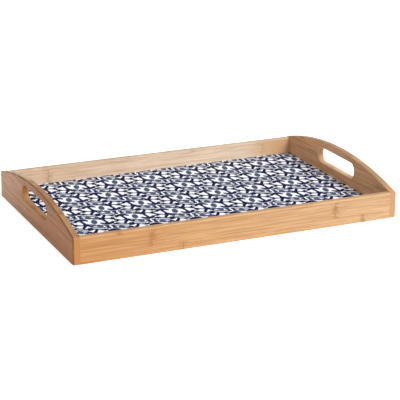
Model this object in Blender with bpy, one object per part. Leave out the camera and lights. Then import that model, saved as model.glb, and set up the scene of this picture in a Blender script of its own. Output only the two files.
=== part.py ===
# Serving tray: two straight side boards between two arched end boards with hand
# slots, and a printed panel held in grooves all round.
# Metres, +Z up. The origin is under the middle of the tray, on the table.
# X runs along the tray, Y across it.

import math

import bmesh
import bpy
from mathutils import Matrix, Vector

# overall sizes
tray_length = 0.440
tray_width = 0.288
side_height = 0.0345
arch_rise = 0.0210          # how far the middle of an end board stands above the sides

# boards
side_thickness = 0.0090
end_thickness = 0.0090
arris_radius = 0.0020       # rounding of every edge that a hand meets
foot_radius = 0.0008        # small rounding along the bottom edges
arch_steps = 36

# hand slots
slot_length = 0.097
slot_height = 0.0205
slot_corner = 0.0090
handle_bar = 0.0103         # wood left above the slot, at the middle of the arch
corner_steps = 6

# printed panel
panel_top = 0.0118          # height of the printed face above the table
core_thickness = 0.0024
skin_thickness = 0.0004
groove_depth = 0.0035

# dowels, two to a corner
dowel_radius = 0.0020
dowel_length = 0.0200
dowel_low = 0.0175
dowel_high = 0.0270
dowel_back_wall = 0.0025    # wood left between a dowel hole and the outside of the end board

# fits
joint_gap = 0.0003          # glue line between two boards
skin_gap = 0.0003           # glue line between the core and a skin
groove_play = 0.0003        # above and below the panel in its groove
edge_play = 0.0005          # between the panel's edge and the bottom of the groove
dowel_play = 0.0003         # around a dowel
dowel_end_play = 0.0005     # past each end of a dowel

# sizes that follow from the ones above
half_length = tray_length / 2
half_width = tray_width / 2
inner_half_length = half_length - end_thickness
inner_half_width = half_width - side_thickness
panel_half_length = inner_half_length + groove_depth - edge_play
panel_half_width = inner_half_width + groove_depth - edge_play
core_top = panel_top - skin_thickness - skin_gap
core_bottom = core_top - core_thickness
panel_bottom = core_bottom - skin_gap - skin_thickness
groove_top = panel_top + groove_play
groove_bottom = panel_bottom - groove_play
slot_middle = side_height + arch_rise - handle_bar - slot_height / 2
end_hole_depth = end_thickness - dowel_back_wall
side_hole_depth = dowel_length + 2 * dowel_end_play - end_hole_depth
overshoot = 0.002           # how far a cutter stands past the wood it cuts


# start from an empty scene
for old in list(bpy.data.objects):
    bpy.data.objects.remove(old, do_unlink=True)

tray = bpy.data.collections.new("serving_tray")
cutters = bpy.data.collections.new("cutters")
bpy.context.scene.collection.children.link(tray)
bpy.context.scene.collection.children.link(cutters)
cutters.hide_render = True

root = bpy.data.objects.new("tray_root", None)
tray.objects.link(root)


def make_material(name, colour, roughness):
    material = bpy.data.materials.new(name)
    material.use_nodes = True
    shader = material.node_tree.nodes["Principled BSDF"]
    shader.inputs["Base Color"].default_value = (*colour, 1.0)
    shader.inputs["Roughness"].default_value = roughness
    shader.inputs["Metallic"].default_value = 0.0
    return material


bamboo_front = make_material("bamboo_front", (0.68, 0.42, 0.19), 0.42)
bamboo_back = make_material("bamboo_back", (0.71, 0.46, 0.23), 0.42)
bamboo_left = make_material("bamboo_left", (0.58, 0.35, 0.17), 0.42)
bamboo_right = make_material("bamboo_right", (0.60, 0.37, 0.18), 0.42)
fibreboard = make_material("fibreboard", (0.33, 0.21, 0.12), 0.80)
printed_paper = make_material("printed_paper", (0.34, 0.38, 0.50), 0.28)
backing_paper = make_material("backing_paper", (0.78, 0.75, 0.69), 0.55)
beech_dowel = make_material("beech_dowel", (0.62, 0.44, 0.27), 0.60)


def add_object(name, mesh, collection, material=None):
    item = bpy.data.objects.new(name, mesh)
    collection.objects.link(item)
    if material:
        mesh.materials.append(material)
        item.parent = root
    return item


def box_bmesh(low, high):
    """A box between two opposite corners."""
    low = Vector(low)
    high = Vector(high)
    bm = bmesh.new()
    bmesh.ops.create_cube(bm, size=1.0)
    size = Matrix.Diagonal((*(high - low), 1.0))
    bmesh.ops.transform(bm, matrix=Matrix.Translation((low + high) / 2) @ size, verts=bm.verts)
    return bm


def finish_mesh(bm, name):
    bmesh.ops.recalc_face_normals(bm, faces=bm.faces)
    mesh = bpy.data.meshes.new(name)
    bm.to_mesh(mesh)
    bm.free()
    return mesh


def round_edges(bm, chosen, radius, segments):
    bmesh.ops.bevel(
        bm,
        geom=chosen,
        offset=radius,
        offset_type="OFFSET",
        segments=segments,
        profile=0.5,
        affect="EDGES",
        clamp_overlap=True,
    )


def make_cutter(name, mesh):
    cutter = add_object(name, mesh, cutters)
    cutter.hide_render = True
    cutter.display_type = "WIRE"
    return cutter


def cut(item, cutter):
    boolean = item.modifiers.new("cut_" + cutter.name, "BOOLEAN")
    boolean.operation = "DIFFERENCE"
    boolean.solver = "EXACT"
    boolean.object = cutter


def cylinder_along_x(radius, length, centre, segments=16):
    """A cylinder whose axis runs along X."""
    bm = bmesh.new()
    bmesh.ops.create_cone(
        bm,
        cap_ends=True,
        segments=segments,
        radius1=radius,
        radius2=radius,
        depth=length,
    )
    turn = Matrix.Rotation(math.pi / 2, 4, "Y")
    bmesh.ops.transform(bm, matrix=Matrix.Translation(centre) @ turn, verts=bm.verts)
    return bm


# Side boards: straight lengths between the end boards.

def make_side_board(name, side, material):
    outer = side * half_width
    inner = side * inner_half_width
    reach = inner_half_length - joint_gap
    bm = box_bmesh((-reach, min(outer, inner), 0.0), (reach, max(outer, inner), side_height))
    long_edges = [e for e in bm.edges if abs(e.verts[0].co.x - e.verts[1].co.x) > reach]
    top_edges = [e for e in long_edges if e.verts[0].co.z > side_height / 2]
    foot_edges = [e for e in long_edges if e.verts[0].co.z < side_height / 2]
    round_edges(bm, foot_edges, foot_radius, 2)
    top_edges = [e for e in top_edges if e.is_valid]
    round_edges(bm, top_edges, arris_radius, 4)
    return add_object(name, finish_mesh(bm, name), tray, material)


side_front = make_side_board("side_board_front", -1, bamboo_front)
side_back = make_side_board("side_board_back", 1, bamboo_back)


# End boards: an arched outline with a hand slot, drawn flat and then stood up.

def arc_height(y, half_chord, rise):
    """Height above its chord of a circular arc, at y from the middle."""
    radius = (half_chord ** 2 + rise ** 2) / (2 * rise)
    return math.sqrt(radius ** 2 - y ** 2) - (radius - rise)


def arched_outline():
    points = [(-half_width, 0.0), (half_width, 0.0), (half_width, side_height)]
    # a point stands where each side board's inner face meets the arch
    for i in range(arch_steps + 1):
        y = inner_half_width * (1 - 2 * i / arch_steps)
        points.append((y, side_height + arc_height(y, half_width, arch_rise)))
    points.append((-half_width, side_height))
    return points


def slot_outline():
    points = []
    corner_y = slot_length / 2 - slot_corner
    corner_z = slot_height / 2 - slot_corner
    corners = ((1, 1, 0), (-1, 1, 90), (-1, -1, 180), (1, -1, 270))
    for sign_y, sign_z, start in corners:
        for i in range(corner_steps + 1):
            turn = math.radians(start + 90 * i / corner_steps)
            y = sign_y * corner_y + slot_corner * math.cos(turn)
            z = slot_middle + sign_z * corner_z + slot_corner * math.sin(turn)
            points.append((y, z))
    return points


def add_closed_spline(curve, points):
    spline = curve.splines.new("POLY")
    spline.points.add(len(points) - 1)
    for point, (x, y) in zip(spline.points, points):
        point.co = (x, y, 0.0, 1.0)
    spline.use_cyclic_u = True


def make_end_board(name, side, material):
    curve = bpy.data.curves.new(name + "_outline", "CURVE")
    curve.dimensions = "2D"
    curve.fill_mode = "BOTH"
    curve.extrude = end_thickness / 2
    add_closed_spline(curve, arched_outline())
    add_closed_spline(curve, slot_outline())
    drawn = bpy.data.objects.new(name + "_outline", curve)
    tray.objects.link(drawn)
    bpy.context.view_layer.update()
    graph = bpy.context.evaluated_depsgraph_get()
    mesh = bpy.data.meshes.new_from_object(drawn.evaluated_get(graph))
    bpy.data.objects.remove(drawn, do_unlink=True)

    bm = bmesh.new()
    bm.from_mesh(mesh)
    bpy.data.meshes.remove(mesh)
    bmesh.ops.remove_doubles(bm, verts=bm.verts, dist=0.00001)
    # stand it up: drawn X becomes Y, drawn Y becomes Z, its thickness becomes X
    stand = Matrix.Rotation(math.pi / 2, 4, "Z") @ Matrix.Rotation(math.pi / 2, 4, "X")
    middle = side * (half_length - end_thickness / 2)
    bmesh.ops.transform(bm, matrix=Matrix.Translation((middle, 0, 0)) @ stand, verts=bm.verts)
    bmesh.ops.dissolve_limit(bm, angle_limit=0.01, verts=bm.verts, edges=bm.edges)

    outer = side * half_length
    inner = side * inner_half_length
    slot_edges = []
    rim_edges = []
    foot_edges = []
    for edge in bm.edges:
        if len(edge.link_faces) != 2 or edge.calc_face_angle() < 0.6:
            continue
        a = edge.verts[0].co
        b = edge.verts[1].co
        middle = (a + b) / 2
        on_outer = abs(middle.x - outer) < 0.0001
        on_inner = abs(middle.x - inner) < 0.0001
        in_slot = abs(middle.y) < slot_length / 2 + 0.0001 and abs(middle.z - slot_middle) < slot_height / 2 + 0.0001
        if in_slot:
            slot_edges.append(edge)
        elif middle.z < 0.0001:
            if on_outer or not on_inner:
                foot_edges.append(edge)
        elif on_outer or not on_inner:
            rim_edges.append(edge)
        elif abs(middle.y) < inner_half_width and middle.z > side_height:
            rim_edges.append(edge)
    round_edges(bm, slot_edges, arris_radius, 3)
    round_edges(bm, [e for e in rim_edges if e.is_valid], arris_radius, 3)
    round_edges(bm, [e for e in foot_edges if e.is_valid], foot_radius, 2)
    return add_object(name, finish_mesh(bm, name), tray, material)


end_left = make_end_board("end_board_left", -1, bamboo_left)
end_right = make_end_board("end_board_right", 1, bamboo_right)


# The panel: a fibreboard core with a printed skin above and a plain skin below.

def make_panel_layer(name, bottom, top, material):
    low = (-panel_half_length, -panel_half_width, bottom)
    high = (panel_half_length, panel_half_width, top)
    return add_object(name, finish_mesh(box_bmesh(low, high), name), tray, material)


make_panel_layer("panel_core", core_bottom, core_top, fibreboard)
make_panel_layer("printed_skin", panel_top - skin_thickness, panel_top, printed_paper)
make_panel_layer("backing_skin", panel_bottom, panel_bottom + skin_thickness, backing_paper)


# The groove is one space that the panel fills, so one cutter serves all four boards.
groove_half_length = inner_half_length + groove_depth
groove_half_width = inner_half_width + groove_depth
end_groove_low = (-groove_half_length, -groove_half_width, groove_bottom)
end_groove_high = (groove_half_length, groove_half_width, groove_top)
end_groove = make_cutter("end_groove_cutter", finish_mesh(box_bmesh(end_groove_low, end_groove_high), "end_groove"))
side_groove_low = (-half_length - overshoot, -groove_half_width, groove_bottom)
side_groove_high = (half_length + overshoot, groove_half_width, groove_top)
side_groove = make_cutter("side_groove_cutter", finish_mesh(box_bmesh(side_groove_low, side_groove_high), "side_groove"))

for board in (side_front, side_back):
    cut(board, side_groove)
for board in (end_left, end_right):
    cut(board, end_groove)


# Two hidden dowels in each corner, and their holes.
ends = {"left": (-1, end_left), "right": (1, end_right)}
sides = {"front": (-1, side_front), "back": (1, side_back)}
heights = {"low": dowel_low, "high": dowel_high}

for side_name, (side_sign, side_board) in sides.items():
    for end_name, (end_sign, end_board) in ends.items():
        for height_name, height in heights.items():
            label = f"{side_name}_{end_name}_{height_name}"
            y = side_sign * (half_width - side_thickness / 2)
            deep_end = inner_half_length + end_hole_depth
            hole_length = end_hole_depth + side_hole_depth
            centre = Vector((end_sign * (deep_end - hole_length / 2), y, height))
            hole = cylinder_along_x(dowel_radius + dowel_play, hole_length, centre)
            hole_cutter = make_cutter("hole_cutter_" + label, finish_mesh(hole, "hole_" + label))
            cut(side_board, hole_cutter)
            cut(end_board, hole_cutter)
            pin = cylinder_along_x(dowel_radius, dowel_length, centre)
            dowel = add_object("dowel_" + label, finish_mesh(pin, "dowel_" + label), tray, beech_dowel)
            dowel.data.shade_smooth()
            dowel.data.set_sharp_from_angle(angle=math.radians(40))

for board in (side_front, side_back, end_left, end_right):
    board.data.shade_smooth()
    board.data.set_sharp_from_angle(angle=math.radians(40))
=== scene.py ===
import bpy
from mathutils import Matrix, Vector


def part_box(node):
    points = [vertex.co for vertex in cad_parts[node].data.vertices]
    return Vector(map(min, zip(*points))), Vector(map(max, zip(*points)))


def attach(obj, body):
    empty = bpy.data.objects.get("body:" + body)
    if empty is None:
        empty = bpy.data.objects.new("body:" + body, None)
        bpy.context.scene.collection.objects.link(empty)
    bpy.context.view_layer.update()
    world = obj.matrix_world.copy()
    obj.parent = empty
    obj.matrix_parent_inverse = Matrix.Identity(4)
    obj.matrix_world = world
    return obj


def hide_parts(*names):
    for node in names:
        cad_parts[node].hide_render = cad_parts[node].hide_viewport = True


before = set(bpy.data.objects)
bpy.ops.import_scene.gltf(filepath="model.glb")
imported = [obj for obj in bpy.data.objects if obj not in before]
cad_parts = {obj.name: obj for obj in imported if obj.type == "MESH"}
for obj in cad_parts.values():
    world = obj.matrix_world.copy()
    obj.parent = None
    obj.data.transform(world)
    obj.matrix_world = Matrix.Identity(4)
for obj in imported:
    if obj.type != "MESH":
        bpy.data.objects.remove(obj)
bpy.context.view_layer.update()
print("frame loaded:", len(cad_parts), "nodes")

import math

import bmesh
import bpy
from mathutils import Matrix, Vector, geometry

scene = bpy.context.scene
weldDistance = 0.000001
sharpAngle = math.radians(40)


def newObject(name, mesh):
    piece = bpy.data.objects.new(name, mesh)
    scene.collection.objects.link(piece)
    return piece


def boardFrom(name, bm, material):
    bmesh.ops.remove_doubles(bm, verts=bm.verts, dist=weldDistance)
    bmesh.ops.recalc_face_normals(bm, faces=bm.faces)
    mesh = bpy.data.meshes.new(name)
    bm.to_mesh(mesh)
    bm.free()
    mesh.materials.append(material)
    mesh.shade_smooth()
    mesh.set_sharp_from_angle(angle=sharpAngle)
    piece = newObject(name, mesh)
    # keeps the flats flat next to the rounded arrises
    weighted = piece.modifiers.new("flatFaces", "WEIGHTED_NORMAL")
    weighted.keep_sharp = True
    weighted.weight = 100
    return piece


def addNode(tree, kind, values=None, **settings):
    node = tree.nodes.new(kind)
    for key, value in settings.items():
        setattr(node, key, value)
    for key, value in (values or {}).items():
        if isinstance(value, bpy.types.NodeSocket):
            tree.links.new(value, node.inputs[key])
        else:
            node.inputs[key].default_value = value
    return node


def doMath(tree, operation, first, second=0.0, third=0.0, clamp=False):
    values = {0: first, 1: second, 2: third}
    return addNode(tree, "ShaderNodeMath", values, operation=operation, use_clamp=clamp).outputs[0]


def doVector(tree, operation, first, second):
    return addNode(tree, "ShaderNodeVectorMath", {0: first, 1: second}, operation=operation).outputs


def remap(tree, value, fromLow, fromHigh, toLow=0.0, toHigh=1.0, style="SMOOTHSTEP"):
    values = {0: value, 1: fromLow, 2: fromHigh, 3: toLow, 4: toHigh}
    return addNode(tree, "ShaderNodeMapRange", values, interpolation_type=style).outputs["Result"]


def stretch(tree, place, scale):
    return addNode(tree, "ShaderNodeMapping", {"Vector": place, "Scale": scale}).outputs[0]


def noise(tree, place, scale=1.0, detail=2.0, roughness=0.5):
    values = {"Vector": place, "Scale": scale, "Detail": detail, "Roughness": roughness}
    return addNode(tree, "ShaderNodeTexNoise", values).outputs["Fac"]


def mixColour(tree, factor, first, second):
    node = addNode(tree, "ShaderNodeMix", {0: factor}, data_type="RGBA", blend_type="MIX")
    for index, value in ((6, first), (7, second)):
        if isinstance(value, bpy.types.NodeSocket):
            tree.links.new(value, node.inputs[index])
        else:
            node.inputs[index].default_value = (*value, 1.0)
    return node.outputs[2]


def addSockets(tree, direction, sockets):
    for label, kind in sockets.items():
        tree.interface.new_socket(label, in_out=direction, socket_type="NodeSocket" + kind)


def newGroup(name, inputs, outputs):
    group = bpy.data.node_groups.new(name, "ShaderNodeTree")
    addSockets(group, "INPUT", inputs)
    addSockets(group, "OUTPUT", outputs)
    source = group.nodes.new("NodeGroupInput")
    sink = group.nodes.new("NodeGroupOutput")
    return group, source.outputs, sink.inputs


def useGroup(tree, group, values):
    return addNode(tree, "ShaderNodeGroup", values, node_tree=group).outputs


def newMaterial(name):
    material = bpy.data.materials.new(name)
    material.use_nodes = True
    tree = material.node_tree
    return material, tree, tree.nodes["Principled BSDF"]


def addBump(tree, shader, strength, distance, height):
    values = {"Strength": strength, "Distance": distance, "Height": height}
    bump = addNode(tree, "ShaderNodeBump", values)
    tree.links.new(bump.outputs[0], shader.inputs["Normal"])


# strips of bamboo glued side by side, fibres along each strip, a ring at each joint of the cane
figureGrain = {
    "seedStep": 7.31,               # sets the strips of two boards apart
    "stripStep": 3.7,               # metres along the cane from one strip's figure to the next
    "seamWidth": 0.0007,
    "swingScale": 9.0,
    "swing": 0.004,                 # how far the fibres swing to and fro
    "streakScale": (8.0, 520.0, 520.0),
    "streakRange": (0.36, 0.62),
    "fibreScale": (28.0, 950.0, 950.0),
    "fibreRange": (0.36, 0.68),
    "scarScale": (90.0, 520.0, 520.0),
    "scarRagged": 0.007,
    "scarReach": (0.0002, 0.0021),  # full strength within the first, gone beyond the second
    "scarStrength": 0.9,
    "fleckScale": (150.0, 380.0, 380.0),
    "fleckRange": (0.42, 0.60),
    "fleckReach": (0.001, 0.0095),
    "fleckStrength": 0.75,
}


def buildBambooFigure():
    tree, given, out = newGroup(
        "bambooFigure",
        {
            "Place": "Vector",
            "Strip Width": "Float",
            "Strip Shift": "Float",
            "Ring Spacing": "Float",
            "Ring Shift": "Float",
            "Ring Stagger": "Float",
            "Seed": "Float",
        },
        {label: "Float" for label in ("Streak", "Fibre", "Strip", "Ring", "Seam")},
    )
    grain = figureGrain
    parts = addNode(tree, "ShaderNodeSeparateXYZ", {0: given["Place"]}).outputs
    shifted = doMath(tree, "ADD", parts["Z"], given["Strip Shift"])
    counted = doMath(tree, "DIVIDE", shifted, given["Strip Width"])
    strip = doMath(tree, "FLOOR", counted)
    stripSeed = doMath(tree, "MULTIPLY_ADD", given["Seed"], grain["seedStep"], strip)
    chance = addNode(tree, "ShaderNodeTexWhiteNoise", {"W": stripSeed}, noise_dimensions="1D")
    tree.links.new(chance.outputs["Value"], out["Strip"])

    # glue line between two strips
    within = doMath(tree, "FRACT", counted)
    fromMiddle = doMath(tree, "ABSOLUTE", doMath(tree, "SUBTRACT", within, 0.5))
    toEdge = doMath(tree, "SUBTRACT", 0.5, fromMiddle)
    toSeam = doMath(tree, "MULTIPLY", toEdge, given["Strip Width"])
    tree.links.new(remap(tree, toSeam, 0.0, grain["seamWidth"], 1.0, 0.0), out["Seam"])

    # long streaks and fine fibres, each strip with its own
    further = doMath(tree, "MULTIPLY", stripSeed, grain["stripStep"])
    offset = addNode(tree, "ShaderNodeCombineXYZ", {"X": further, "Y": 0.0, "Z": stripSeed})
    moved = doVector(tree, "ADD", given["Place"], offset.outputs[0])[0]
    wander = noise(tree, moved, grain["swingScale"], detail=1.0)
    swing = doMath(tree, "MULTIPLY_ADD", wander, grain["swing"], -grain["swing"] / 2)
    swung = addNode(tree, "ShaderNodeCombineXYZ", {"X": 0.0, "Y": swing, "Z": swing})
    bent = doVector(tree, "ADD", moved, swung.outputs[0])[0]
    streak = noise(tree, stretch(tree, bent, grain["streakScale"]), detail=3.0, roughness=0.55)
    fibre = noise(tree, stretch(tree, bent, grain["fibreScale"]), roughness=0.6)
    tree.links.new(remap(tree, streak, *grain["streakRange"]), out["Streak"])
    tree.links.new(remap(tree, fibre, *grain["fibreRange"]), out["Fibre"])

    # distance to the nearest joint of the cane, which each strip has somewhere else
    along = doMath(tree, "ADD", parts["X"], given["Ring Shift"])
    start = doMath(tree, "MULTIPLY", strip, given["Ring Stagger"])
    turns = doMath(tree, "DIVIDE", doMath(tree, "ADD", along, start), given["Ring Spacing"])
    fromHalf = doMath(tree, "SUBTRACT", doMath(tree, "FRACT", turns), 0.5)
    reach = doMath(tree, "MULTIPLY", doMath(tree, "ABSOLUTE", fromHalf), given["Ring Spacing"])
    # a ragged scar, with darker flecks on both sides of it
    rough = noise(tree, stretch(tree, moved, grain["scarScale"]))
    ragged = doMath(tree, "SUBTRACT", rough, 0.5)
    torn = doMath(tree, "MULTIPLY_ADD", ragged, grain["scarRagged"], reach)
    scar = remap(tree, torn, *grain["scarReach"], grain["scarStrength"], 0.0)
    spots = noise(tree, stretch(tree, moved, grain["fleckScale"]), detail=1.0)
    near = remap(tree, reach, *grain["fleckReach"], grain["fleckStrength"], 0.0)
    flecks = doMath(tree, "MULTIPLY", remap(tree, spots, *grain["fleckRange"]), near)
    tree.links.new(doMath(tree, "MAXIMUM", scar, flecks), out["Ring"])
    return tree


endGrainCells = {
    "facing": (0.45, 0.85),         # how squarely a face lies across the grain
    "scale": (60.0, 1250.0, 1250.0),
    "randomness": 0.85,
    "bundle": (0.12, 0.42),
}


def buildEndGrain():
    tree, given, out = newGroup(
        "endGrain",
        {"Place": "Vector", "Grain": "Vector"},
        {"Face": "Float", "Dots": "Float"},
    )
    normal = addNode(tree, "ShaderNodeTexCoord").outputs["Normal"]
    facing = doVector(tree, "DOT_PRODUCT", normal, given["Grain"])["Value"]
    across = doMath(tree, "ABSOLUTE", facing)
    tree.links.new(remap(tree, across, *endGrainCells["facing"]), out["Face"])
    cells = {
        "Vector": stretch(tree, given["Place"], endGrainCells["scale"]),
        "Scale": 1.0,
        "Randomness": endGrainCells["randomness"],
    }
    bundles = addNode(tree, "ShaderNodeTexVoronoi", cells).outputs["Distance"]
    tree.links.new(remap(tree, bundles, *endGrainCells["bundle"], 1.0, 0.0), out["Dots"])
    return tree


# patches that break up the painted edge light and shade
paintedLightPatches = {"scale": 45.0, "detail": 3.0, "range": (0.35, 0.62), "least": 0.45}


# painted highlight and painted shade along edges, broken into patches
def buildEdgePaintedLight():
    tree, given, out = newGroup(
        "edgePaintedLight",
        {"Place": "Vector", "Arris": "Float", "Amount": "Float"},
        {"Painted Light": "Float"},
    )
    patches = noise(tree, given["Place"], paintedLightPatches["scale"], paintedLightPatches["detail"])
    broken = remap(tree, patches, *paintedLightPatches["range"], paintedLightPatches["least"], 1.0)
    edgePaint = doMath(tree, "MULTIPLY", given["Arris"], broken)
    tree.links.new(doMath(tree, "MULTIPLY", edgePaint, given["Amount"], clamp=True), out["Painted Light"])
    return tree


bambooFigure = buildBambooFigure()
endGrain = buildEndGrain()
edgePaintedLight = buildEdgePaintedLight()


def makeBamboo(name, look):
    material, tree, shader = newMaterial(name)
    place = addNode(tree, "ShaderNodeTexCoord").outputs["Object"]
    laid = {"Vector": place, "Location": look["shift"], "Rotation": (0.0, 0.0, look["turn"])}
    turned = addNode(tree, "ShaderNodeMapping", laid).outputs[0]
    figure = useGroup(tree, bambooFigure, {
        "Place": turned,
        "Strip Width": look["stripWidth"],
        "Strip Shift": look["stripShift"],
        "Ring Spacing": look["ringSpacing"],
        "Ring Shift": look["ringShift"],
        "Ring Stagger": look["ringStagger"],
        "Seed": look["seed"],
    })
    ends = useGroup(tree, endGrain, {"Place": turned, "Grain": look["grain"]})
    paintedLight = {}
    for label, amount in (("arris", "edgeAndTopPaint"), ("corner", "rimShade"), ("slotLight", "slotLightAmount")):
        marked = addNode(tree, "ShaderNodeAttribute", attribute_name=label).outputs["Fac"]
        values = {"Place": turned, "Arris": marked, "Amount": look[amount]}
        paintedLight[label] = useGroup(tree, edgePaintedLight, values)["Painted Light"]

    # along the board the colour is painted paler towards one end: painted light and painted sheen where
    # the light falls brighter
    along = addNode(tree, "ShaderNodeSeparateXYZ", {0: turned}).outputs["X"]
    pale = remap(tree, along, look["fadeFrom"], look["fadeTo"], 0.0, look["fade"], style="LINEAR")
    light = mixColour(tree, pale, look["light"], look["pale"])
    dark = mixColour(tree, pale, look["dark"], look["paleDark"])
    dots = doMath(tree, "MULTIPLY", ends["Dots"], look["dotTone"])
    cut = mixColour(tree, dots, look["endLight"], look["endDark"])
    edgeAndTopLight = mixColour(tree, pale, look["edgeAndTopColour"], look["edgeAndTopSheen"])
    # each colour lies over the ones before it
    coats = (
        (doMath(tree, "MULTIPLY", figure["Strip"], look["stripTone"]), look["deep"]),
        (remap(tree, figure["Fibre"], 0.0, look["fibreUpTo"], look["fibre"], 0.0), look["deep"]),
        (doMath(tree, "MULTIPLY", figure["Seam"], look["seamTone"]), look["deep"]),
        (doMath(tree, "MULTIPLY", figure["Ring"], look["ring"]), look["ringColour"]),
        (ends["Face"], cut),
        # painted shade and painted orange reflection near the corner where an end board meets
        (remap(tree, along, *look["paintedCornerReach"], 0.0, look["paintedCornerShade"]), look["paintedCornerColour"]),
        # painted highlight along the arrises and painted light and shade on the top faces
        (paintedLight["arris"], edgeAndTopLight),
        # painted shade along the outer rims of the end boards
        (paintedLight["corner"], look["rimShadeColour"]),
        # painted light on the upward slot floors and painted highlight on the slot rims
        (paintedLight["slotLight"], look["slotLightColour"]),
    )
    base = mixColour(tree, figure["Streak"], dark, light)
    for amount, colour in coats:
        base = mixColour(tree, amount, base, colour)
    tree.links.new(base, shader.inputs["Base Color"])

    gloss = doMath(tree, "MULTIPLY_ADD", figure["Fibre"], -look["fibreGloss"], look["roughness"])
    gloss = doMath(tree, "MULTIPLY_ADD", ends["Face"], look["endRoughness"], gloss)
    tree.links.new(gloss, shader.inputs["Roughness"])
    height = doMath(tree, "MULTIPLY_ADD", figure["Seam"], -look["relief"], figure["Fibre"])
    height = doMath(tree, "MULTIPLY_ADD", figure["Ring"], look["relief"], height)
    addBump(tree, shader, look["bump"], look["bumpDepth"], height)
    shader.inputs["Coat Weight"].default_value = look["coat"]
    shader.inputs["Coat Roughness"].default_value = look["coatRoughness"]
    shader.inputs["Specular IOR Level"].default_value = look["specular"]
    return material


alongX = (1.0, 0.0, 0.0)
alongY = (0.0, 1.0, 0.0)
quarterTurn = -math.pi / 2

bambooLook = {
    "shift": (0.0, 0.0, 0.0),
    "turn": 0.0,
    "grain": alongX,
    "stripWidth": 0.020,
    "stripShift": 0.009,
    "ringSpacing": 0.251,
    "ringShift": 0.2045,
    "ringStagger": 0.041,
    "light": (0.42, 0.215, 0.080),
    "dark": (0.325, 0.152, 0.052),
    "deep": (0.30, 0.135, 0.046),
    "stripTone": 0.16,
    "seamTone": 0.35,
    "fibre": 0.34,
    "fibreUpTo": 0.55,
    "ring": 0.50,
    "ringColour": (0.25, 0.105, 0.032),
    "endLight": (0.36, 0.165, 0.058),
    "endDark": (0.28, 0.120, 0.038),
    "dotTone": 0.55,
    # painted highlight on the arrises and painted light and shade on the tops, paler towards the far end
    # as painted sheen
    "edgeAndTopColour": (0.66, 0.430, 0.220),
    "edgeAndTopSheen": (0.66, 0.430, 0.220),
    "edgeAndTopPaint": 0.40,
    # painted shade on the outer rims
    "rimShadeColour": (0.24, 0.100, 0.036),
    "rimShade": 0.55,
    # painted light in the slots
    "slotLightColour": (0.86, 0.640, 0.420),
    "slotLightAmount": 0.8,
    # painted light along the board, paler towards one end
    "fadeFrom": -0.22,
    "fadeTo": 0.22,
    "pale": (0.54, 0.375, 0.225),
    "paleDark": (0.45, 0.280, 0.148),
    "paintedCornerShade": 0.0,
    "paintedCornerReach": (0.125, 0.195),     # metres from the middle of the board
    "paintedCornerColour": (0.56, 0.345, 0.185),
    "roughness": 0.44,
    "fibreGloss": 0.10,
    "endRoughness": 0.12,
    "relief": 0.8,          # how far rings stand out and seams lie in
    "bump": 0.35,
    "bumpDepth": 0.00012,
    "coat": 0.05,
    "coatRoughness": 0.22,
    "specular": 0.2,
}
acrossLook = dict(
    bambooLook,
    turn=quarterTurn,
    grain=alongY,
    ring=0.22,
    specular=0.04,
    pale=(0.55, 0.360, 0.235),
    paleDark=(0.44, 0.255, 0.150),
)
boardLooks = {
    "front": dict(bambooLook, seed=3.0, fade=0.85, ring=0.75),
    "back": dict(
        bambooLook,
        seed=8.0,
        ringSpacing=0.323,
        ringShift=0.2075,
        ringStagger=0.11,
        # pale colours that are painted sheen from a grazing reflection
        light=(0.70, 0.515, 0.370),
        dark=(0.59, 0.415, 0.275),
        deep=(0.43, 0.265, 0.155),
        fade=0.9,
        pale=(0.86, 0.730, 0.600),
        paleDark=(0.75, 0.610, 0.480),
        edgeAndTopColour=(0.35, 0.255, 0.165),
        edgeAndTopSheen=(0.52, 0.410, 0.300),
        edgeAndTopPaint=0.8,
        # painted shade near the corner with the right end board
        paintedCornerShade=0.95,
        specular=0.08,
    ),
    "left": dict(
        acrossLook,
        seed=5.0,
        light=(0.305, 0.121, 0.043),
        dark=(0.195, 0.070, 0.022),
        deep=(0.20, 0.075, 0.026),
        ringColour=(0.16, 0.060, 0.018),
        fade=0.65,
        fadeFrom=-0.02,
        fadeTo=0.14,
        edgeAndTopColour=(0.40, 0.235, 0.118),
        # painted sheen on the top towards the back
        edgeAndTopSheen=(1.0, 0.850, 0.650),
        edgeAndTopPaint=0.9,
        rimShadeColour=(0.15, 0.055, 0.018),
        rimShade=1.0,
        slotLightColour=(0.52, 0.290, 0.130),
    ),
    "right": dict(
        acrossLook,
        seed=6.0,
        shift=(0.09, 0.0, 0.0),
        light=(0.80, 0.440, 0.240),
        dark=(0.57, 0.300, 0.150),
        edgeAndTopColour=(0.36, 0.235, 0.132),
        edgeAndTopSheen=(0.36, 0.235, 0.132),
        endLight=(0.42, 0.245, 0.120),
        endDark=(0.33, 0.175, 0.080),
        fade=0.15,
        edgeAndTopPaint=0.9,
    ),
}
bamboo = {name: makeBamboo(name + "Bamboo", look) for name, look in boardLooks.items()}
print("bamboo mixed")


# metres, as everywhere below unless a note says otherwise
fits = {
    "panelGap": 0.0003,     # over and under the panel in its groove
    "grooveDepth": 0.0035,
    "dowelHole": 0.0023,    # radius
    "holeSteps": 20,
    "sideHoleDepth": 0.0145,
    "endHoleDepth": 0.0065,
    "jointGap": 0.0003,     # between the plain solids of a side board and an end board
    "glueLine": 0.00004,    # what is left of it here
}
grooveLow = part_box("backing_skin")[0][2] - fits["panelGap"]
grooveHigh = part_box("printed_skin")[1][2] + fits["panelGap"]


def middleHeight(node):
    low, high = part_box(node)
    return round((low[2] + high[2]) / 2, 5)


dowelHeights = sorted({middleHeight(n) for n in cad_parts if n.startswith("dowel_")})


def addLoop(bm, points, layer=None, values=()):
    verts = [bm.verts.new(p) for p in points]
    for vert, value in zip(verts, values):
        vert[layer] = value
    return verts


def loopEdges(bm, verts):
    edges = []
    for i, vert in enumerate(verts):
        pair = (vert, verts[(i + 1) % len(verts)])
        edges.append(bm.edges.get(pair) or bm.edges.new(pair))
    return edges


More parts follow.
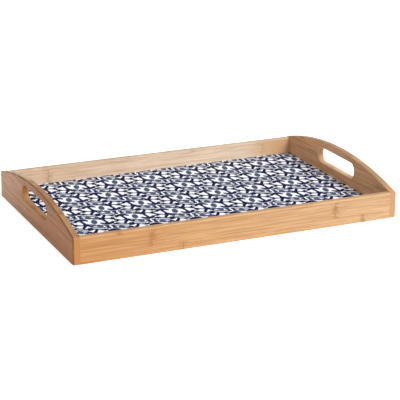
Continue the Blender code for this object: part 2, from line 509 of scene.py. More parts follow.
def bridge(bm, first, second):
    count = len(first)
    for i in range(count):
        j = (i + 1) % count
        bm.faces.new((first[i], first[j], second[j], second[i]))


def bridgeAll(bm, rings):
    for first, second in zip(rings, rings[1:]):
        bridge(bm, first, second)


def fillFlat(bm, loops, normal):
    edges = []
    for loop in loops:
        edges += loopEdges(bm, loop)
    bmesh.ops.triangle_fill(bm, use_beauty=True, edges=edges, normal=normal)


def sinkHole(bm, rim, depth):
    bottom = [bm.verts.new(v.co + Vector(depth)) for v in rim]
    bridge(bm, rim, bottom)
    bm.faces.new(bottom)


def dowelRim(bm, x, y, z):
    radius = fits["dowelHole"]
    turns = [2 * math.pi * i / fits["holeSteps"] for i in range(fits["holeSteps"])]
    return addLoop(bm, [(x, y + radius * math.cos(t), z + radius * math.sin(t)) for t in turns])


sideBoard = {
    "arris": 0.0020,
    "arrisSteps": 6,
    "foot": 0.0008,
    "footSteps": 3,
    "flatTop": 0.0001,      # points this near the top get the painted top tone, like the arrises get their painted highlight
    "stations": 24,
}


def roundedCorner(centre, radius, start, steps):
    # a quarter turn of points, each with its share of the painted edge highlight
    points = []
    for i in range(steps + 1):
        turn = math.radians(start + 90 * i / steps)
        rounded = math.sin(math.pi * i / steps)
        x = centre[0] + radius * math.cos(turn)
        points.append((x, centre[1] + radius * math.sin(turn), rounded))
    return points


def sideSection(depth, height):
    # goes round once, with the outer face at 0 and the inner face at depth
    arris = sideBoard["arris"]
    foot = sideBoard["foot"]
    bottom = roundedCorner((foot, foot), foot, 180, sideBoard["footSteps"])
    bottom += roundedCorner((depth - foot, foot), foot, 270, sideBoard["footSteps"])
    top = roundedCorner((depth - arris, height - arris), arris, 0, sideBoard["arrisSteps"])
    top += roundedCorner((arris, height - arris), arris, 90, sideBoard["arrisSteps"])
    # only the top is painted: a highlight on its arrises and painted light and shade on its flat
    flat = height - sideBoard["flatTop"]
    bottom = [(u, z, 0.0) for u, z, w in bottom]
    top = [(u, z, max(w, float(z > flat))) for u, z, w in top]
    grooveEnd = depth - fits["grooveDepth"]
    groove = [(depth, grooveLow, 0.0), (grooveEnd, grooveLow, 0.0)]
    groove += [(grooveEnd, grooveHigh, 0.0), (depth, grooveHigh, 0.0)]
    return bottom + groove + top


def makeSideBoard(name, node, outward, side):
    low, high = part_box(node)
    depth = high[1] - low[1]
    section = sideSection(depth, high[2])
    outer = low[1] if outward < 0 else high[1]
    endX = high[0] + fits["jointGap"] - fits["glueLine"]
    bm = bmesh.new()
    layer = bm.verts.layers.float.new("arris")
    places = [(outer - outward * u, z) for u, z, w in section]
    edgePaint = [w for u, z, w in section]
    rings = []
    stations = sideBoard["stations"]
    for i in range(stations + 1):
        x = -endX + 2 * endX * i / stations
        rings.append(addLoop(bm, [(x, y, z) for y, z in places], layer, edgePaint))
    bridgeAll(bm, rings)
    middleY = outer - outward * depth / 2
    for ring, x, into in ((rings[0], -endX, 1), (rings[-1], endX, -1)):
        holes = [dowelRim(bm, x, middleY, z) for z in dowelHeights]
        fillFlat(bm, [ring] + holes, (-into, 0, 0))
        for hole in holes:
            sinkHole(bm, hole, (into * fits["sideHoleDepth"], 0, 0))
    piece = boardFrom(name, bm, bamboo[side])
    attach(piece, "root")
    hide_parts(node)


makeSideBoard("sideBoardFront", "side_board_front", -1, "front")
makeSideBoard("sideBoardBack", "side_board_back", 1, "back")
print("side boards made")


endBoard = {
    "arris": 0.0020,
    "arrisSteps": 5,
    "tight": 0.00004,       # the rounding of a rim that a side board meets
    "archSteps": 120,
    "archFade": 0.004,      # the inner arris of the arch fades out over this length
    "archFadePast": 0.0005, # and ends this far beyond a side board's inner face
    "archFadeLeast": 0.02,  # share of the arris that is left there
    "foot": 0.0008,
    "footStop": 0.003,      # the inner rounding of the foot ends this far from a side board
    "footSteps": 40,
    "footRound": 0.0020,
    "footRoundSteps": 5,
    "footRoundMost": 0.9,   # share of footRound that the rims there may take
    "flankSteps": 8,
    "cornerRound": 0.0026,
    "cornerSteps": 7,
    "slotLength": 0.0970,
    "slotHeight": 0.0205,
    "slotCorner": 0.0090,
    "slotCornerSteps": 14,
    "slotEdgeSteps": 12,
    "slotArris": 0.0018,
    "handleBar": 0.0103,    # wood over the slot at the top of the arch
    "fullEdgePaint": 0.0015,     # a rim rounded this much gets the full share of its painted edge light and shade
    "outerSlotLight": 0.15,      # share of the painted highlight on the slot's outer rim, beside 1 for its inner one
    "sharpestBend": 0.5,    # limits how far a tight bend pushes its inset
}


def archOutline(halfWidth, shoulder, peak, innerHalf):
    # points go round once, each with the rounding that its outer rim and its inner rim get
    rise = peak - shoulder
    radius = (halfWidth ** 2 + rise ** 2) / (2 * rise)
    centreZ = peak - radius
    arris = endBoard["arris"]
    foot = endBoard["foot"]
    toe = endBoard["footRound"]
    bend = endBoard["cornerRound"]
    tight = endBoard["tight"]

    steps = endBoard["footSteps"]
    flatFoot = innerHalf - endBoard["footStop"]
    bottom = []
    for i in range(steps + 1):
        y = -(halfWidth - toe) + 2 * (halfWidth - toe) * i / steps
        bottom.append((y, 0.0, foot, foot if abs(y) < flatFoot else tight))

    # one flank, from the rounded foot over the shoulder
    flank = []
    steps = endBoard["footRoundSteps"]
    for i in range(1, steps):
        turn = math.radians(270 + 90 * i / steps)
        rim = min(foot + (arris - foot) * i / steps, toe * endBoard["footRoundMost"])
        y = halfWidth - toe + toe * math.cos(turn)
        flank.append((y, toe + toe * math.sin(turn), rim, tight))
    # lean is where the shoulder's round meets the arch
    lean = math.asin((halfWidth - bend) / (radius - bend))
    cornerY = (radius - bend) * math.sin(lean)
    cornerZ = centreZ + (radius - bend) * math.cos(lean)
    steps = endBoard["flankSteps"]
    for i in range(steps + 1):
        flank.append((halfWidth, toe + (cornerZ - toe) * i / steps, arris if i else toe, tight))
    steps = endBoard["cornerSteps"]
    for i in range(1, steps + 1):
        turn = (math.pi / 2 - lean) * i / steps
        y = cornerY + bend * math.cos(turn)
        flank.append((y, cornerZ + bend * math.sin(turn), arris, tight))

    arch = []
    steps = endBoard["archSteps"]
    fadeFrom = innerHalf + endBoard["archFadePast"]
    for i in range(1, steps):
        angle = lean * (1 - 2 * i / steps)
        y = radius * math.sin(angle)
        fade = max(endBoard["archFadeLeast"], (fadeFrom - abs(y)) / endBoard["archFade"])
        arch.append((y, centreZ + radius * math.cos(angle), arris, arris * min(1.0, fade)))
    mirrored = [(-y, z, outer, inner) for y, z, outer, inner in reversed(flank)]
    return bottom + flank + arch + mirrored


def slotOutline(middleZ):
    corner = endBoard["slotCorner"]
    halfY = endBoard["slotLength"] / 2 - corner
    halfZ = endBoard["slotHeight"] / 2 - corner
    rims = (endBoard["slotArris"], endBoard["slotArris"])
    cornerSteps = endBoard["slotCornerSteps"]
    edgeSteps = endBoard["slotEdgeSteps"]
    points = []
    for signY, signZ, start in ((1, 1, 0), (-1, 1, 90), (-1, -1, 180), (1, -1, 270)):
        for i in range(cornerSteps + 1):
            turn = math.radians(start + 90 * i / cornerSteps)
            y = signY * halfY + corner * math.cos(turn)
            z = middleZ + signZ * halfZ + corner * math.sin(turn)
            points.append((y, z, *rims))
        # the long edges follow the corners that start them
        if signY == signZ:
            edgeZ = middleZ + signZ * (halfZ + corner)
            for i in range(1, edgeSteps):
                points.append((signY * halfY * (1 - 2 * i / edgeSteps), edgeZ, *rims))
    return points


def inwardNormals(points, sign):
    # unit vectors into the wood at each point of an outline that goes round anticlockwise
    count = len(points)
    normals = []
    for i in range(count):
        before = Vector(points[i - 1][:2])
        here = Vector(points[i][:2])
        after = Vector(points[(i + 1) % count][:2])
        first = (here - before).normalized()
        second = (after - here).normalized()
        across = Vector((-(first.y + second.y), first.x + second.x)).normalized()
        bend = max(endBoard["sharpestBend"], math.sqrt((1 + first.dot(second)) / 2))
        normals.append(across * sign / bend)
    return normals


# outer rims take painted shade, inner rims and upward faces painted highlight and tone, the slot painted
# light
def markPaintedLight(vert, layers, edgePaint, upward, isRim, isOuter):
    if not isRim:
        share = endBoard["outerSlotLight"] if isOuter else 1.0
        vert[layers["slotLight"]] = max(upward, edgePaint * share)
    elif isOuter:
        vert[layers["corner"]] = edgePaint
        vert[layers["arris"]] = upward
    else:
        vert[layers["arris"]] = max(upward, edgePaint)


def wallLoops(bm, layers, points, sign, outerX, innerX):
    # rings of one wall, from the flat outer face over both rounded rims to the flat inner face
    normals = inwardNormals(points, sign)
    steps = endBoard["arrisSteps"]
    into = 1 if innerX > outerX else -1
    outerTurns = [math.pi / 2 * k / steps for k in range(steps + 1)]
    innerTurns = [math.pi / 2 - turn for turn in outerTurns]
    rings = []
    for isOuter, turns in ((True, outerTurns), (False, innerTurns)):
        sizes = [p[2 if isOuter else 3] for p in points]
        for turn in turns:
            ring = []
            for point, size, normal in zip(points, sizes, normals):
                inset = size * (1 - math.sin(turn))
                deep = size * (1 - math.cos(turn))
                x = outerX + into * deep if isOuter else innerX - into * deep
                ring.append((x, point[0] + normal.x * inset, point[1] + normal.y * inset))
            verts = addLoop(bm, ring)
            for vert, size, normal in zip(verts, sizes, normals):
                edgePaint = math.sin(2 * turn) * min(1.0, size / endBoard["fullEdgePaint"])
                upward = max(0.0, -normal.y) * math.sin(turn)
                markPaintedLight(vert, layers, edgePaint, upward, sign > 0, isOuter)
            rings.append(verts)
    bridgeAll(bm, rings)
    return rings


def makeEndBoard(name, node, outward, side):
    low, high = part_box(node)
    outerX = low[0] if outward < 0 else high[0]
    innerX = high[0] if outward < 0 else low[0]
    halfWidth = high[1]
    sideLow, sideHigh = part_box("side_board_back")
    innerHalf = sideLow[1]
    peak = high[2]
    outline = archOutline(halfWidth, sideHigh[2], peak, innerHalf)
    slot = slotOutline(peak - endBoard["handleBar"] - endBoard["slotHeight"] / 2)
    bm = bmesh.new()
    paintedLightMaps = ("arris", "corner", "slotLight")
    for label in paintedLightMaps:
        bm.verts.layers.float.new(label)
    layers = {label: bm.verts.layers.float[label] for label in paintedLightMaps}
    rim = wallLoops(bm, layers, outline, 1, outerX, innerX)
    hole = wallLoops(bm, layers, slot, -1, outerX, innerX)
    fillFlat(bm, [rim[0], hole[0]], (outward, 0, 0))
    reach = innerHalf + fits["grooveDepth"]
    corners = ((-reach, grooveLow), (reach, grooveLow), (reach, grooveHigh), (-reach, grooveHigh))
    groove = addLoop(bm, [(innerX, y, z) for y, z in corners])
    middleY = (halfWidth + innerHalf) / 2
    holes = [dowelRim(bm, innerX, y, z) for y in (-middleY, middleY) for z in dowelHeights]
    fillFlat(bm, [rim[-1], hole[-1], groove] + holes, (-outward, 0, 0))
    sinkHole(bm, groove, (outward * fits["grooveDepth"], 0, 0))
    for each in holes:
        sinkHole(bm, each, (outward * fits["endHoleDepth"], 0, 0))
    piece = boardFrom(name, bm, bamboo[side])
    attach(piece, "root")
    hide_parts(node)


makeEndBoard("endBoardLeft", "end_board_left", -1, "left")
makeEndBoard("endBoardRight", "end_board_right", 1, "right")
print("end boards made")


printLook = {
    "blotScale": 260.0,
    "cloudScale": 18.0,
    "cloudRange": (0.3, 0.7),
    "gloss": (0.50, 0.60),
    "peelScale": 700.0,
    "bump": 0.12,
    "bumpDepth": 0.00004,
    "specular": 0.04,
}


def buildPrintGrain():
    tree, given, out = newGroup(
        "printGrain",
        {"Place": "Vector", "Colour": "Color", "Mottle": "Float"},
        {"Colour": "Color", "Gloss": "Float", "Height": "Float"},
    )
    place = given["Place"]
    blot = noise(tree, place, printLook["blotScale"], detail=4.0, roughness=0.6)
    cloud = noise(tree, place, printLook["cloudScale"])
    uneven = [doMath(tree, "SUBTRACT", each, 0.5) for each in (blot, cloud)]
    bright = doMath(tree, "MULTIPLY_ADD", doMath(tree, "ADD", *uneven), given["Mottle"], 1.0)
    values = {0: given["Colour"], "Scale": bright}
    scaled = addNode(tree, "ShaderNodeVectorMath", values, operation="SCALE").outputs[0]
    tree.links.new(scaled, out["Colour"])
    gloss = remap(tree, cloud, *printLook["cloudRange"], *printLook["gloss"], style="LINEAR")
    tree.links.new(gloss, out["Gloss"])
    tree.links.new(noise(tree, place, printLook["peelScale"], detail=1.0), out["Height"])
    return tree


printGrain = buildPrintGrain()


def makeInk(name, colour, mottle):
    material, tree, shader = newMaterial(name)
    place = addNode(tree, "ShaderNodeTexCoord").outputs["Object"]
    values = {"Place": place, "Colour": (*colour, 1.0), "Mottle": mottle}
    grain = useGroup(tree, printGrain, values)
    tree.links.new(grain["Colour"], shader.inputs["Base Color"])
    tree.links.new(grain["Gloss"], shader.inputs["Roughness"])
    addBump(tree, shader, printLook["bump"], printLook["bumpDepth"], grain["Height"])
    shader.inputs["Specular IOR Level"].default_value = printLook["specular"]
    return material


# a later ink prints over an earlier one
printInks = {
    "paper": makeInk("printedPaper", (0.87, 0.90, 0.94), 0.05),
    "slate": makeInk("printedSlate", (0.058, 0.085, 0.155), 0.22),
    "navy": makeInk("printedNavy", (0.003, 0.006, 0.060), 0.20),
}
inkOrder = list(printInks)

ornament = {
    "columnPitch": 0.0550,
    "rowPitch": 0.0475,
    "columns": 11,
    "rows": 9,
    "columnShift": -0.0033,     # the tray's middle lies this far from a column of figures
    "rowShift": 0.0330,
    "boldness": 1.38,           # widens every stroke
    "strokePoints": 9,
    "beadPoints": 14,
    "bowPoints": 15,
    "bowEnds": 2.8,             # millimetres, like the figure itself
    "bowSwell": 2.9,
    "cutWeld": 0.0005,          # millimetres
    "cutInside": 1,             # keeps only the faces inside the shapes
    "tileWeld": 0.000004,
}
capTurns = (0.6, 1.2, 1.94, 2.54)   # radians round the end of a stroke


def bandPoints(path, widths):
    # outline of a stroke along a path, with its own width at each point
    left = []
    right = []
    count = len(path)
    for i in range(count):
        before = Vector(path[max(0, i - 1)])
        after = Vector(path[min(count - 1, i + 1)])
        along = (after - before).normalized()
        across = Vector((-along.y, along.x)) * widths[i] / 2
        here = Vector(path[i])
        left.append(tuple(here + across))
        right.append(tuple(here - across))
    caps = []
    ends = ((path[-1], path[-2], widths[-1]), (path[0], path[1], widths[0]))
    for here, beyond, width in ends:
        out = (Vector(here) - Vector(beyond)).normalized()
        side = Vector((-out.y, out.x))
        steps = [(side * math.cos(t) + out * math.sin(t)) * width / 2 for t in capTurns]
        caps.append([tuple(Vector(here) + step) for step in steps])
    return left + caps[0] + right[::-1] + caps[1]


def arcPath(centre, radius, start, end, count):
    turns = [math.radians(start + (end - start) * i / (count - 1)) for i in range(count)]
    return [(centre[0] + radius * math.cos(t), centre[1] + radius * math.sin(t)) for t in turns]


def curvePath(points, count):
    # a smooth path through a start, two pulls and an end
    a, b, c, d = (Vector(p) for p in points)
    path = []
    for i in range(count):
        t = i / (count - 1)
        s = 1 - t
        path.append(tuple(a * s ** 3 + b * 3 * s * s * t + c * 3 * s * t * t + d * t ** 3))
    return path


def curl(ends, pulls, widths, ink="navy"):
    # a stroke from one end to the other, bent towards two pulls, with its widths spread along it
    count = ornament["strokePoints"]
    path = curvePath((ends[0], pulls[0], pulls[1], ends[1]), count)
    spread = []
    for i in range(count):
        place = i / (count - 1) * (len(widths) - 1)
        low = min(int(place), len(widths) - 2)
        width = widths[low] + (widths[low + 1] - widths[low]) * (place - low)
        spread.append(width * ornament["boldness"])
    return (ink, bandPoints(path, spread))


def bead(centre, halfX, halfY, lean=0.0, ink="navy"):
    count = ornament["beadPoints"]
    points = []
    for i in range(count):
        turn = 2 * math.pi * i / count
        x = halfX * ornament["boldness"] * math.cos(turn)
        y = halfY * ornament["boldness"] * math.sin(turn)
        turnedX = x * math.cos(lean) - y * math.sin(lean)
        turnedY = x * math.sin(lean) + y * math.cos(lean)
        points.append((centre[0] + turnedX, centre[1] + turnedY))
    return (ink, points)


def bowShape():
    count = ornament["bowPoints"]
    widths = []
    for i in range(count):
        swell = ornament["bowSwell"] * math.sin(math.pi * i / (count - 1))
        widths.append((ornament["bowEnds"] + swell) * ornament["boldness"])
    path = arcPath(centre=(0.7, -28.0), radius=8.0, start=200, end=334, count=count)
    return ("navy", bandPoints(path, widths))


def figureShapes():
    # one sprig and what lies round it, in millimetres from the diamond in its middle
    shapes = [
        bowShape(),
        curl(((0.8, -35.0), (-0.2, -17.0)), ((1.6, -29.0), (-0.6, -24.0)), (3.4, 2.8, 2.9, 3.4)),
        bead((-0.7, -16.2), 3.3, 3.2, 0.3),
        curl(((0.0, -16.5), (6.5, -4.6)), ((1.2, -11.5), (5.8, -9.5)), (4.0, 3.4, 3.2, 2.4)),
        bead((-4.6, -9.8), 2.0, 2.6, 0.5),
        curl(((19.4, -9.4), (13.6, -6.6)), ((17.8, -6.8), (15.4, -9.2)), (3.2, 5.4, 5.6, 3.2)),
        bead((-15.3, -6.7), 3.0, 4.4, 0.25, ink="slate"),
        bead((-13.75, -23.75), 2.9, 6.2, -0.22, ink="slate"),
        curl(((9.6, -18.6), (13.2, -21.8)), ((11.4, -18.0), (12.2, -21.6)), (3.4, 4.8, 5.0, 3.4)),
        bead((-3.7, -44.6), 2.0, 2.5, 0.3),
        bead((-4.0, -50.8), 2.4, 2.2),
        curl(((-4.4, -15.8), (-11.0, -13.4)), ((-7.0, -16.4), (-9.0, -13.0)), (2.3, 2.3, 2.0)),
        curl(((3.0, -16.8), (8.6, -17.8)), ((4.6, -15.4), (6.6, -17.6)), (2.4, 2.2, 2.4)),
        curl(((13.0, -15.4), (20.0, -17.0)), ((15.4, -13.6), (17.6, -18.2)), (2.0, 2.6, 2.0)),
        curl(((-25.5, -43.6), (-8.0, -48.4)), ((-18.5, -41.0), (-14.5, -51.5)), (2.0, 2.4, 2.0)),
        curl(((-12.8, 6.4), (-4.0, 1.2)), ((-9.8, 7.2), (-7.0, 0.2)), (2.4, 2.2, 2.6)),
        curl(((-25.0, -36.4), (-16.4, -37.6)), ((-22.0, -34.0), (-19.0, -39.0)), (2.2, 2.8, 2.4)),
    ]
    tail = ((-8.4, -38.6), (-1.4, -41.4))
    shapes.append(curl(tail, ((-6.4, -39.4), (-4.4, -41.6)), (1.8, 2.2, 1.8), ink="slate"))
    # a half turn about the diamond gives the other sprig
    turned = [(ink, [(-x, -y) for x, y in points]) for ink, points in shapes]
    bold = ornament["boldness"]
    half = ((0, 4), (-2.4, 2.4), (-3.4, 0), (-2.4, -2.4))
    diamond = [(x * bold, y * bold) for x, y in half] + [(-x * bold, -y * bold) for x, y in half]
    return shapes + turned + [("navy", diamond)]


def signedArea(points):
    return sum(a[0] * b[1] - b[0] * a[1] for a, b in zip(points, points[1:] + points[:1])) / 2


def makeTile():
    # one brick of the print, cut into faces that each carry one ink
    wide = ornament["columnPitch"] * 1000
    tall = ornament["rowPitch"] * 1000
    halfX = wide / 2
    halfY = tall / 2
    corners = ((-halfX, -halfY), (halfX, -halfY), (halfX, halfY), (-halfX, halfY))
    points = [Vector(c) for c in corners]
    faces = [[0, 1, 2, 3]]
    inks = [0]
    neighbours = range(-2, 3)
    for ink, outline in figureShapes():
        if signedArea(outline) < 0:
            outline = outline[::-1]
        for row in neighbours:
            for column in neighbours:
                dx = column * wide + (row % 2) * halfX
                dy = row * tall
                moved = [Vector((x + dx, y + dy)) for x, y in outline]
                if max(p.x for p in moved) < -halfX or min(p.x for p in moved) > halfX:
                    continue
                if max(p.y for p in moved) < -halfY or min(p.y for p in moved) > halfY:
                    continue
                faces.append(list(range(len(points), len(points) + len(moved))))
                points += moved
                inks.append(inkOrder.index(ink))
    inside = ornament["cutInside"]
    cut = geometry.delaunay_2d_cdt(points, [], faces, inside, ornament["cutWeld"], True)
    bm = bmesh.new()
    layer = bm.faces.layers.int.new("ink")
    placed = [bm.verts.new((v.x / 1000, v.y / 1000, 0.0)) for v in cut[0]]
    for cell, origin in zip(cut[2], cut[5]):
        # the brick is face 0, so a cell that doesn't come from it lies outside
        if 0 not in origin:
            continue
        face = bm.faces.new([placed[i] for i in cell])
        face[layer] = max(inks[i] for i in origin)
        if face.normal.z < 0:
            face.normal_flip()
    bmesh.ops.delete(bm, geom=[v for v in bm.verts if not v.link_faces], context="VERTS")
    mesh = bpy.data.meshes.new("printTile")
    bm.to_mesh(mesh)
    bm.free()
    return newObject("printTile", mesh)


def buildTiling():
    # lays one tile on a grid of bricks, each second row moved half a brick
    tree = bpy.data.node_groups.new("layPrint", "GeometryNodeTree")
    tree.is_modifier = True
    addSockets(tree, "INPUT", {
        "Geometry": "Geometry",
        "Tile": "Object",
        "Columns": "Int",
        "Rows": "Int",
        "Column Pitch": "Float",
        "Row Pitch": "Float",
        "Place": "Vector",
        **{ink.capitalize(): "Material" for ink in inkOrder},
    })
    addSockets(tree, "OUTPUT", {"Geometry": "Geometry"})
    given = tree.nodes.new("NodeGroupInput").outputs
    out = tree.nodes.new("NodeGroupOutput").inputs
    lastColumn = doMath(tree, "SUBTRACT", given["Columns"], 1.0)
    lastRow = doMath(tree, "SUBTRACT", given["Rows"], 1.0)
    tall = doMath(tree, "MULTIPLY", lastRow, given["Row Pitch"])
    grid = addNode(tree, "GeometryNodeMeshGrid", {
        "Size X": doMath(tree, "MULTIPLY", lastColumn, given["Column Pitch"]),
        "Size Y": tall,
        "Vertices X": given["Columns"],
        "Vertices Y": given["Rows"],
    })
    place = addNode(tree, "GeometryNodeInputPosition").outputs[0]
    y = addNode(tree, "ShaderNodeSeparateXYZ", {0: place}).outputs["Y"]
    fromFirst = doMath(tree, "MULTIPLY_ADD", tall, 0.5, y)
    row = doMath(tree, "ROUND", doMath(tree, "DIVIDE", fromFirst, given["Row Pitch"]))
    half = doMath(tree, "MULTIPLY", doMath(tree, "MODULO", row, 2.0), 0.5)
    stagger = doMath(tree, "MULTIPLY", half, given["Column Pitch"])
    aside = addNode(tree, "ShaderNodeCombineXYZ", {"X": stagger, "Y": 0.0, "Z": 0.0}).outputs[0]
    offset = doVector(tree, "ADD", aside, given["Place"])[0]
    tile = addNode(tree, "GeometryNodeObjectInfo", {"Object": given["Tile"]}).outputs["Geometry"]
    steps = (
        ("GeometryNodeSetPosition", "Geometry", {"Offset": offset}),
        ("GeometryNodeInstanceOnPoints", "Points", {"Instance": tile}),
        ("GeometryNodeRealizeInstances", "Geometry", {}),
        ("GeometryNodeMergeByDistance", "Geometry", {"Distance": ornament["tileWeld"]}),
    )
    current = grid.outputs["Mesh"]
    for kind, socket, values in steps:
        current = addNode(tree, kind, {socket: current, **values}).outputs[0]
    ink = addNode(tree, "GeometryNodeInputNamedAttribute", {"Name": "ink"}, data_type="INT")
    # every ink gets its material
    for number, name in enumerate(inkOrder):
        values = {2: ink.outputs["Attribute"], 3: number}
        same = addNode(tree, "FunctionNodeCompare", values, data_type="INT", operation="EQUAL")
        current = addNode(tree, "GeometryNodeSetMaterial", {
            "Geometry": current,
            "Selection": same.outputs[0],
            "Material": given[name.capitalize()],
        }).outputs[0]
    tree.links.new(current, out["Geometry"])
    return tree


def layPrint(height):
    # the tiled print as one mesh, larger than the panel
    tile = makeTile()
    carrier = newObject("printCarrier", bpy.data.meshes.new("printCarrier"))
    modifier = carrier.modifiers.new("layPrint", "NODES")
    modifier.node_group = buildTiling()
    settings = {
        "Tile": tile,
        "Place": (ornament["columnShift"], ornament["rowShift"], height),
        "Columns": ornament["columns"],
        "Rows": ornament["rows"],
        "Column Pitch": ornament["columnPitch"],
        "Row Pitch": ornament["rowPitch"],
        **{ink.capitalize(): material for ink, material in printInks.items()},
    }
    for item in modifier.node_group.interface.items_tree:
        if item.in_out == "INPUT" and item.name in settings:
            modifier[item.identifier] = settings[item.name]
    graph = bpy.context.evaluated_depsgraph_get()
    mesh = bpy.data.meshes.new_from_object(carrier.evaluated_get(graph))
    bpy.data.objects.remove(carrier)
    bpy.data.objects.remove(tile)
    while None in list(mesh.materials):
        mesh.materials.pop(index=list(mesh.materials).index(None))
    return mesh


def makePrintedPanel():
    low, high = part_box("printed_skin")
    mesh = layPrint(high[2])
    bm = bmesh.new()
    bm.from_mesh(mesh)
    # trimmed to the panel
    for axis, edge, sign in ((0, low[0], -1), (0, high[0], 1), (1, low[1], -1), (1, high[1], 1)):
        trim = {"plane_co": Vector((0, 0, 0)), "plane_no": Vector((0, 0, 0))}
        trim["plane_co"][axis] = edge
        trim["plane_no"][axis] = sign
        everything = bm.verts[:] + bm.edges[:] + bm.faces[:]
        bmesh.ops.bisect_plane(bm, geom=everything, dist=weldDistance, clear_outer=True, **trim)
    # closed to the panel's thickness
    rim = [e for e in bm.edges if e.is_boundary]
    made = bmesh.ops.extrude_edge_only(bm, edges=rim)["geom"]
    lowered = {v for v in made if isinstance(v, bmesh.types.BMVert)}
    for vert in lowered:
        vert.co.z = low[2]
    newEdges = [e for e in made if isinstance(e, bmesh.types.BMEdge)]
    bottom = [e for e in newEdges if all(v in lowered for v in e.verts)]
    bmesh.ops.contextual_create(bm, geom=bottom)
    bmesh.ops.recalc_face_normals(bm, faces=bm.faces)
    bm.to_mesh(mesh)
    bm.free()
    mesh.name = "printedPanel"
    piece = newObject("printedPanel", mesh)
    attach(piece, "root")
    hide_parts("printed_skin")
    print("print laid:", len(mesh.polygons), "faces,", [m.name for m in mesh.materials])


makePrintedPanel()


speckleLook = {"range": (0.35, 0.65), "bump": 0.25, "bumpDepth": 0.00008}


def buildSpeckle():
    tree, given, out = newGroup(
        "speckle",
        {"Place": "Vector", "Light": "Color", "Dark": "Color", "Size": "Float"},
        {"Colour": "Color", "Height": "Float"},
    )
    chips = noise(tree, given["Place"], given["Size"], detail=5.0, roughness=0.7)
    spread = remap(tree, chips, *speckleLook["range"])
    tree.links.new(mixColour(tree, spread, given["Dark"], given["Light"]), out["Colour"])
    tree.links.new(chips, out["Height"])
    return tree


speckle = buildSpeckle()


def makeSpeckled(name, light, dark, size, roughness, scale=(1.0, 1.0, 1.0)):
    material, tree, shader = newMaterial(name)
    place = addNode(tree, "ShaderNodeTexCoord").outputs["Object"]
    made = useGroup(tree, speckle, {
        "Place": stretch(tree, place, scale),
        "Light": (*light, 1.0),
        "Dark": (*dark, 1.0),
        "Size": size,
    })
    tree.links.new(made["Colour"], shader.inputs["Base Color"])
    addBump(tree, shader, speckleLook["bump"], speckleLook["bumpDepth"], made["Height"])
    shader.inputs["Roughness"].default_value = roughness
    return material


# the plain solids that stay as they are
keptLooks = {
    "panel_core": makeSpeckled(
        "fibreboardCore", (0.40, 0.27, 0.16), (0.27, 0.17, 0.09), size=900.0, roughness=0.82
    ),
    "backing_skin": makeSpeckled(
        "backingPaper", (0.80, 0.77, 0.71), (0.73, 0.70, 0.63), size=420.0, roughness=0.5
    ),
    "dowel": makeSpeckled(
        "beechPin",
        (0.66, 0.47, 0.29),
        (0.52, 0.34, 0.19),
        size=900.0,
        roughness=0.6,
        scale=(0.06, 1.0, 1.0),
    ),
}
for nodeName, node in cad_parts.items():
    key = "dowel" if nodeName.startswith("dowel_") else nodeName
    if key in keptLooks:
        node.data.materials.clear()
        node.data.materials.append(keptLooks[key])
print("kept parts finished")


studio = {
    "floorSize": 9.0,
    "floorColour": (0.94, 0.94, 0.94, 1.0),
    "floorRoughness": 0.9,
    "floorSpecular": 0.1,
    "floorGlow": 0.62,
    "skyStrength": 0.26,
    "white": (1.0, 1.0, 1.0, 1.0),
    "lampDistance": 2,
}


def makeFloor():
    mesh = bpy.data.meshes.new("floor")
    bm = bmesh.new()
    bmesh.ops.create_grid(bm, x_segments=1, y_segments=1, size=studio["floorSize"])
    bm.to_mesh(mesh)
    bm.free()
    material, tree, shader = newMaterial("floorPaint")
    shader.inputs["Base Color"].default_value = studio["floorColour"]
    shader.inputs["Roughness"].default_value = studio["floorRoughness"]
    shader.inputs["Specular IOR Level"].default_value = studio["floorSpecular"]
    shader.inputs["Emission Color"].default_value = studio["white"]
    shader.inputs["Emission Strength"].default_value = studio["floorGlow"]
    mesh.materials.append(material)
    return newObject("floor", mesh)


def makeSky():
    world = bpy.data.worlds.new("studioSky")
    world.use_nodes = True
    tree = world.node_tree
    sky = tree.nodes["Background"]
    sky.inputs["Color"].default_value = studio["white"]
    seen = addNode(tree, "ShaderNodeLightPath").outputs["Is Camera Ray"]
    strength = remap(tree, seen, 0.0, 1.0, studio["skyStrength"], 1.0, style="LINEAR")
    tree.links.new(strength, sky.inputs["Strength"])
    scene.world = world


floor = makeFloor()
makeSky()

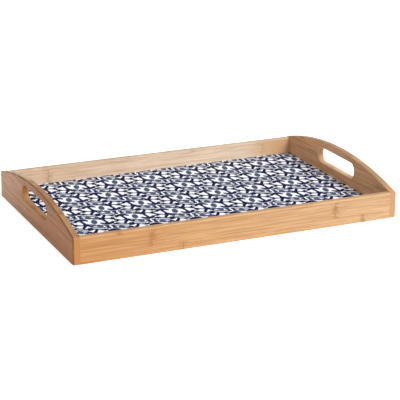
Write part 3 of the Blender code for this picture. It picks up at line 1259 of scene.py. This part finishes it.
# spread is in degrees
lamps = {
    "keyLight": dict(strength=3.3, spread=32.0, colour=(1.0, 0.985, 0.96), cameFrom=(0.22, -0.71, 0.65)),
    "backLight": dict(strength=0.3, spread=60.0, colour=(1.0, 1.0, 1.0), cameFrom=(0.35, 0.86, 0.36)),
    "fillLight": dict(strength=0.78, spread=60.0, colour=(1.0, 0.99, 0.97), cameFrom=(-0.80, -0.15, 0.58)),
}


def addSun(name, strength, spread, colour, cameFrom):
    lamp = bpy.data.lights.new(name, "SUN")
    lamp.energy = strength
    lamp.angle = math.radians(spread)
    lamp.color = colour
    holder = bpy.data.objects.new(name, lamp)
    holder.location = Vector(cameFrom) * studio["lampDistance"]
    holder.rotation_euler = (-Vector(cameFrom)).to_track_quat("-Z", "Y").to_euler()
    scene.collection.objects.link(holder)


for name, lamp in lamps.items():
    addSun(name, **lamp)

# angles in degrees, sensor and lens in millimetres
view = {
    "azimuth": -24.37,
    "elevation": 18.49,
    "roll": 0.33,
    "distance": 1.930,
    "aim": (0.0081, 0.0, 0.0076),
    "sensor": 36.0,
    "lens": 131.7,
    "nearest": 0.01,
    "furthest": 60.0,
}


def placeCamera():
    azimuth, elevation, roll = (math.radians(view[key]) for key in ("azimuth", "elevation", "roll"))
    backward = Vector((
        math.sin(azimuth) * math.cos(elevation),
        -math.cos(azimuth) * math.cos(elevation),
        math.sin(elevation),
    ))
    level = Vector((math.cos(azimuth), math.sin(azimuth), 0.0))
    steep = backward.cross(level)
    right = level * math.cos(roll) + steep * math.sin(roll)
    up = steep * math.cos(roll) - level * math.sin(roll)
    place = Vector(view["aim"]) + backward * view["distance"]
    camera = bpy.data.objects.new("camera", bpy.data.cameras.new("camera"))
    camera.data.sensor_width = view["sensor"]
    camera.data.lens = view["lens"]
    camera.data.clip_start = view["nearest"]
    camera.data.clip_end = view["furthest"]
    camera.matrix_world = Matrix((
        (right.x, up.x, backward.x, place.x),
        (right.y, up.y, backward.y, place.y),
        (right.z, up.z, backward.z, place.z),
        (0, 0, 0, 1),
    ))
    scene.collection.objects.link(camera)
    scene.camera = camera


placeCamera()
scene.view_settings.view_transform = "Standard"
print("stage set")
